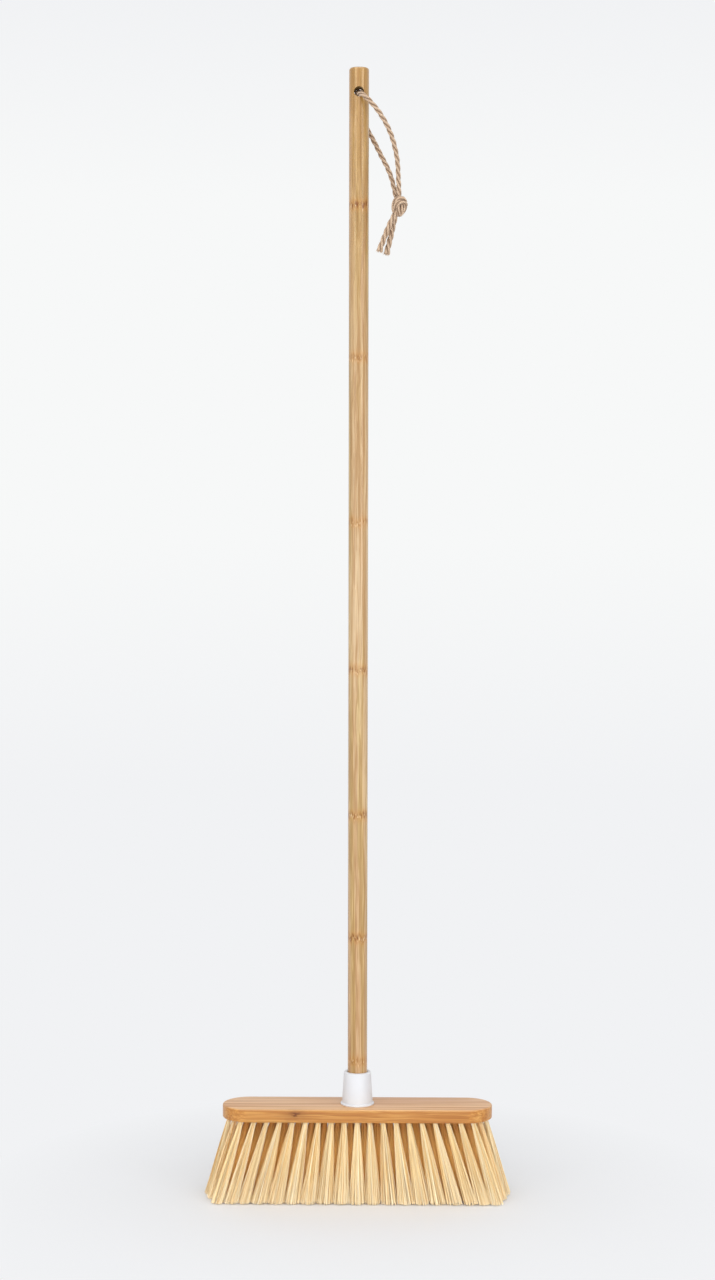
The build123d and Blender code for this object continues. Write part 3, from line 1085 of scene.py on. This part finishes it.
def make_collar():
    """White socket: thin flange, tapered body with a rounded mouth, and a bore with a ledge."""
    flange_radius = collar_high.x
    flange_top = block_top_z + flange_thickness
    floor_z = collar_low.z + socket_floor
    edge = flange_edge_radius
    foot = collar_foot_radius
    rim = collar_rim_radius
    profile = [(0, collar_low.z), (spigot_radius, collar_low.z), (spigot_radius, block_top_z)]
    profile += [(flange_radius - edge / 2, block_top_z)]
    profile += arc(flange_radius - edge, flange_top - edge, edge, 0, 90)
    profile += arc(collar_base_radius + foot, flange_top + foot, foot, 270, 180)
    profile += arc(collar_top_radius - rim, collar_top_z - rim, rim, collar_rim_start, 90)
    profile += [
        (guide_radius + mouth_chamfer, collar_top_z),
        (guide_radius, collar_top_z - mouth_chamfer),
        (guide_radius, ledge_z),
        (thread_root_radius, ledge_z),
        (thread_root_radius, floor_z),
        (0, floor_z),
    ]
    mesh = lathe("socket_collar_white", profile)
    collar = add_object("socket_collar_white", mesh)
    paint(mesh, finishes["socket_plastic"])
    smooth(mesh)
    finish_piece(collar, "head", "socket_plastic", "socket_collar")


# Pole


def make_pole():
    """Turned pole with a rounded top, a tenon inside its threaded tip and a drilled cord hole."""
    edge = pole_edge_radius
    profile = [(0, pole_low.z), (tenon_radius, pole_low.z), (tenon_radius, ledge_z)]
    profile += [(pole_radius - edge / 2, ledge_z), (pole_radius, ledge_z + edge / 2)]
    profile += [(pole_radius, hole_z - cord_hole_room[0]), (pole_radius, hole_z + cord_hole_room[1])]
    profile += arc(pole_radius - edge, pole_top_z - edge, edge, 0, 90)
    profile += [(0, pole_top_z)]
    pole = add_object("handle_pole_cane", lathe("handle_pole_cane", profile))
    hole = rods("cord_hole", [(0, 0)], cord_hole_radius, -2 * pole_radius, 2 * pole_radius, cord_hole_sides)
    for corner in hole.vertices:
        x, y, z = corner.co
        corner.co = (x, z, hole_z - y)
    cut(pole, hole)
    paint(pole.data, finishes["bamboo_pole"], finishes["bamboo_end"])
    for face in pole.data.polygons:
        away = Vector((face.center.x, face.center.y, 0)).normalized()
        face.material_index = 0 if face.normal.dot(away) > 0.5 else 1
    smooth(pole.data)
    finish_piece(pole, "handle", "bamboo_pole", "handle_pole")


# Hanging cord


def spline_points(name, route):
    """Points along the smooth line that has a route's points as its control points."""
    curve = bpy.data.curves.new(name, "CURVE")
    curve.dimensions = "3D"
    curve.resolution_u = line_steps
    spline = curve.splines.new("NURBS")
    spline.points.add(len(route) - 1)
    for control, place in zip(spline.points, route):
        control.co = (*place, 1.0)
    spline.order_u = 3
    spline.use_endpoint_u = True
    line = add_object(name, curve)
    mesh = bpy.data.meshes.new_from_object(line.evaluated_get(bpy.context.evaluated_depsgraph_get()))
    points = [corner.co.copy() for corner in mesh.vertices]
    bpy.data.objects.remove(line)
    bpy.data.meshes.remove(mesh)
    return points


def lengths_along(points):
    """Length of a line up to each of its points."""
    lengths = [0.0]
    for before, here in zip(points, points[1:]):
        lengths.append(lengths[-1] + (here - before).length)
    return lengths


def even_points(points, step):
    """The same line, walked in equal steps."""
    lengths = lengths_along(points)
    count = max(2, round(lengths[-1] / step))
    even = []
    spot = 0
    for number in range(count + 1):
        target = lengths[-1] * number / count
        while spot < len(points) - 2 and lengths[spot + 1] < target:
            spot += 1
        span = lengths[spot + 1] - lengths[spot]
        share = (target - lengths[spot]) / span if span else 0.0
        even.append(points[spot].lerp(points[spot + 1], share))
    return even


def carried_frames(points, side=None):
    """A tangent and two side directions at each point, carried along with no twist of their own."""
    tangents = []
    for spot in range(len(points)):
        before = points[max(spot - 1, 0)]
        after = points[min(spot + 1, len(points) - 1)]
        tangents.append((after - before).normalized())
    side = side or tangents[0].orthogonal()
    frames = []
    for tangent in tangents:
        side = (side - tangent * side.dot(tangent)).normalized()
        frames.append((tangent, side, tangent.cross(side)))
    return frames


def outward(axes, angle):
    """Direction away from a line at an angle round it."""
    return axes[1] * math.cos(angle) + axes[2] * math.sin(angle)


def add_tube(shape, points, radii, sides, heart=None, reach=1.0):
    """Adds a closed round tube to lists of points, faces, surface places and heights on the rope."""
    corners, faces, lies, crowns = shape
    base = len(corners)
    lengths = lengths_along(points)
    for spot, axes in enumerate(carried_frames(points)):
        for side in range(sides):
            corner = points[spot] + outward(axes, 2 * math.pi * side / sides) * radii[spot]
            corners.append(corner)
            lies.append((lengths[spot], side / sides))
            crowns.append((corner - heart[spot]).length / reach if heart else 1.0)
    faces += skin(base, len(points), sides)
    faces.append(list(range(base + sides - 1, base - 1, -1)))
    faces.append(list(range(len(corners) - sides, len(corners))))


def add_rope(shape, points, diameter, lay, seed, end_flare=0.0, side=None):
    """Adds strands laid round a soft core, the first on a given side. A flare opens them at their end."""
    chance = random.Random(seed)
    strand_radius = strand_share * diameter
    lay_radius = lay_share * diameter
    reach = strand_radius + lay_radius
    # The core lies low in the lay, so the jute's painted shade darkens it
    add_tube(shape, points, [core_share * diameter] * len(points), strand_sides, points, reach)
    frames = carried_frames(points, side)
    step = (points[1] - points[0]).length
    total = step * (len(points) - 1)
    for strand in range(cord_strands):
        line = []
        radii = []
        for spot, place in enumerate(points):
            run = spot * step
            opening = end_flare * max(0.0, 1 - (total - run) / flare_reach) ** 2
            angle = 2 * math.pi * (strand / cord_strands - run / lay)
            line.append(place + outward(frames[spot], angle) * lay_radius * (1 + opening))
            thickening = 1 + flare_thickening * opening
            radii.append(strand_radius * thickening * chance.uniform(*strand_variation))
        add_tube(shape, line, radii, strand_sides, points, reach)


def add_fibres(shape, points, diameter, count, seed, ends=0):
    """Stray fibres along a rope, and a brush of them at its last end."""
    chance = random.Random(seed)
    frames = carried_frames(points)
    for number in range(count + ends):
        at_end = number >= count
        spot = len(points) - 1 if at_end else chance.randrange(len(points))
        tangent = frames[spot][0]
        out = outward(frames[spot], chance.uniform(0, 2 * math.pi))
        if at_end:
            reach = diameter / 2 * math.sqrt(chance.random())
            start = points[spot] + out * reach - tangent * end_fibre_sink
            aim = tangent + out * chance.uniform(*end_fibre_leans)
            length = chance.uniform(*end_fibre_lengths)
            radius = end_fibre_radius
        else:
            start = points[spot] + out * diameter * fibre_seat
            aim = tangent * chance.choice((-1, 1)) + out * chance.uniform(*stray_fibre_leans)
            length = chance.uniform(*stray_fibre_lengths)
            radius = stray_fibre_radius
        aim.normalize()
        droop = Vector((0, 0, -fibre_droop * length))
        line = [start, start + aim * length * 0.5, start + aim * length + droop]
        add_tube(shape, line, (radius, radius, radius * 0.5), fibre_sides)


def rope_piece(name, shape):
    """A rope mesh with its surface places as a UV map and its heights as an attribute."""
    corners, faces, lies, crowns = shape
    mesh = bpy.data.meshes.new(name)
    mesh.from_pydata(corners, [], faces)
    lie = mesh.uv_layers.new(name="lie")
    for loop in mesh.loops:
        lie.data[loop.index].uv = lies[loop.vertex_index]
    crown = mesh.attributes.new("crown", "FLOAT", "POINT")
    crown.data.foreach_set("value", crowns)
    smooth(mesh, 60.0)
    paint(mesh, finishes["jute"])
    return add_object(name, mesh)


def add_core(shape):
    """A filling behind the bands of the knot, painted dark as shade through its low crown."""
    corners, faces, lies, crowns = shape
    edit = bmesh.new()
    bmesh.ops.create_icosphere(edit, subdivisions=3, radius=1.0)
    base = len(corners)
    for corner in edit.verts:
        corners.append(knot_centre + corner.co * knot_core)
        lies.append((corner.co.z * knot_core.z, 0.5))
        crowns.append(core_shade_crown)
    faces += [[base + corner.index for corner in face.verts] for face in edit.faces]
    edit.free()


def make_knot():
    """Bands of rope round a filling."""
    shape = ([], [], [], [])
    add_core(shape)
    for number, (name, band) in enumerate(knot_bands.items()):
        control = [knot_centre + Vector(place) for place in band]
        line = even_points(spline_points(name, control), rope_step)
        diameter = knot_arch_diameter if "arch" in name else knot_band_diameter
        seed = knot_seed + number
        add_rope(shape, line, diameter, knot_lay, seed)
        add_fibres(shape, line, diameter, band_fibres, fibre_seed + seed)
    knot = rope_piece("cord_knot_jute", shape)
    finish_piece(knot, "hang_loop", "jute", "cord_knot")
    return knot


def make_cord():
    """Loop of jute through the pole: two legs, a knot and two cut tails."""
    knot = make_knot()
    for seed, (name, route) in enumerate(cord_routes.items()):
        control = [Vector(place) + Vector((0, 0, hole_z)) for place in route]
        points = even_points(spline_points(name + "_line", control), rope_step)
        shape = ([], [], [], [])
        if "tail" in name:
            diameter, far_end = tail_diameter, "bare"
            add_rope(shape, points, diameter, cord_lay, seed, end_flare=tail_flare)
            add_fibres(shape, points, diameter, tail_fibres, fibre_seed + seed, tail_end_fibres)
        else:
            diameter, far_end = cord_diameter, "knot"
            add_rope(shape, points, diameter, cord_lay, seed, side=Vector((1, 0, 0)))
            add_fibres(shape, points, diameter, leg_fibres, fibre_seed + seed)
        piece = rope_piece(name + "_jute", shape)
        finish_piece(piece, "hang_loop", "jute", name)
        lengths_along(points)[-1]


# Nodes that stay as they are


def paint_nodes():
    """Finishes of the screws, the staples and the threaded tip."""
    slots = {"tuft_anchors": "steel", "socket_screws": "steel", "tip_screw": "steel"}
    slots["thread_tip"] = "tip_plastic"
    for node, slot in slots.items():
        paint(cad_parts[node].data, finishes[slot])


# Stage, light and camera


def make_floor():
    """A pale round floor that fades into the white of the room."""
    outline = circle(floor_radius, turned_sides, 0)
    material, tree, surface = new_finish("pale_floor", Base_Color=tone(232, 233, 235), Roughness=0.8)
    floor = add_object("floor", mesh_of("floor", outline, [list(range(turned_sides))]))
    paint(floor.data, material)
    fade = remap(length_of(object_place(tree)), *floor_fade)
    glow = put(tree, "ShaderNodeEmission", {"Color": room_dim})
    mix = put(tree, "ShaderNodeMixShader", {0: fade, 1: Wire(surface.outputs["BSDF"]), 2: glow})
    link(mix, tree.nodes["Material Output"].inputs["Surface"])


def make_light(name, place, aim, width, height, power, mirrored=True):
    """A large soft panel turned towards a point, which glossy surfaces mirror or not."""
    panel = bpy.data.lights.new(name, "AREA")
    panel.shape = "RECTANGLE"
    panel.size = width
    panel.size_y = height
    panel.energy = power
    lamp = add_object(name, panel)
    lamp.visible_glossy = mirrored
    lamp.location = place
    lamp.rotation_euler = (Vector(aim) - Vector(place)).to_track_quat("-Z", "Y").to_euler()


def make_room():
    """White room, brightest to look at and in reflections, softer in the light that it sheds."""
    world = bpy.data.worlds.new("white_room")
    world.use_nodes = True
    tree = world.node_tree
    tree.nodes.clear()
    path = put(tree, "ShaderNodeLightPath")
    seen = calc("MAXIMUM", path["Is Camera Ray"], path["Is Glossy Ray"])
    direction = put(tree, "ShaderNodeTexCoord")["Generated"]
    height = remap(axes_of(direction)["Z"], *room_heights)
    stops = [(0.0, room_dim), (0.2, room_bright), (0.48, room_bright), (0.64, room_dim)]
    stops.append((0.95, tone(248, 248, 248)))
    inputs = {"Color": ramp(height, stops), "Strength": remap(seen, 0.0, 1.0, room_light, 1.0)}
    add_node(tree, "ShaderNodeOutputWorld", {"Surface": put(tree, "ShaderNodeBackground", inputs)})
    bpy.context.scene.world = world


def make_camera():
    """Camera at the photograph's place: tipped a little down, turned and rolled by a hair."""
    lens = bpy.data.cameras.new("camera")
    lens.sensor_fit = "VERTICAL"
    lens.sensor_height = camera_sensor
    lens.lens = camera_lens
    camera = add_object("camera", lens)
    x = camera_distance * math.sin(camera_turn) + camera_offset
    camera.location = (x, -camera_distance * math.cos(camera_turn), camera_height)
    camera.rotation_euler = (math.radians(90 - camera_tilt), camera_roll, camera_turn)
    bpy.context.scene.camera = camera


make_camera()
make_cord()
make_block()
make_bristles()
make_collar()
make_thread()
make_pole()
paint_nodes()
make_floor()
make_room()
make_light("left_panel", (-1.6, -1.8, 1.2), (0, 0, 0.6), 1.0, 1.8, 10)
make_light("right_panel", (1.6, -1.8, 1.2), (0, 0, 0.6), 1.0, 1.8, 13)
make_light("top_panel", (0, -0.5, 2.6), (0, 0, 0), 1.6, 1.2, 16)
make_light("front_panel", (0, -2.9, 0.9), (0, 0, 0.45), 2.0, 1.6, 11.5, mirrored=False)
make_light("low_panel", (0, -2.0, 0.4), (0, 0, 0.06), 1.6, 0.7, 10, mirrored=False)
bpy.context.scene.view_settings.view_transform = "Standard"
